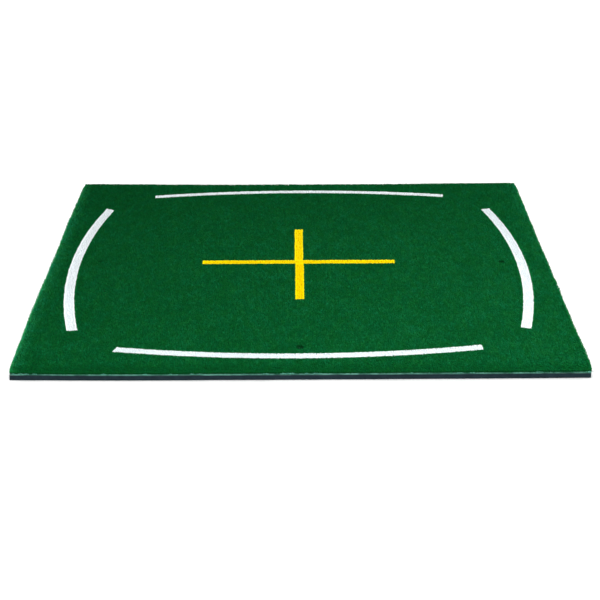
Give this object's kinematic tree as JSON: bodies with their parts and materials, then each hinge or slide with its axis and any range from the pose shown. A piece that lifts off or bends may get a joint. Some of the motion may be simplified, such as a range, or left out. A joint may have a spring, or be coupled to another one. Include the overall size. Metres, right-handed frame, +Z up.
{
  "type": "golf hitting mat",
  "caption": "Square foam-backed turf mat for golf practice, with inlaid white arcs near the sides, a yellow cross in the middle and a through tee hole inside each arc.",
  "frame": {"origin": "on the floor under the middle of the mat", "axes": "+Z up out of the hitting surface; +X to the right along the near side; -Y towards the near side"},
  "size_m": [1.5, 1.5, 0.025],
  "materials": {
    "foam": "matte closed-cell foam",
    "glue": "dried glue film",
    "latex": "matte latex coat",
    "cloth": "woven tape cloth",
    "green_turf": "dense curled pile",
    "white_turf": "dense curled pile",
    "yellow_turf": "dense curled pile"
  },
  "bodies": {
    "root": {"foam_base": "foam", "glue_film": "glue", "turf_latex": "latex", "turf_cloth": "cloth", "green_pile": "green_turf", "right_arc_latex": "latex", "right_arc_cloth": "cloth", "right_arc_pile": "white_turf", "back_arc_latex": "latex", "back_arc_cloth": "cloth", "back_arc_pile": "white_turf", "left_arc_latex": "latex", "left_arc_cloth": "cloth", "left_arc_pile": "white_turf", "front_arc_latex": "latex", "front_arc_cloth": "cloth", "front_arc_pile": "white_turf", "cross_long_strip_latex": "latex", "cross_long_strip_cloth": "cloth", "cross_long_strip_pile": "yellow_turf", "cross_back_arm_latex": "latex", "cross_back_arm_cloth": "cloth", "cross_back_arm_pile": "yellow_turf", "cross_front_arm_latex": "latex", "cross_front_arm_cloth": "cloth", "cross_front_arm_pile": "yellow_turf"}
  },
  "joints": []
}
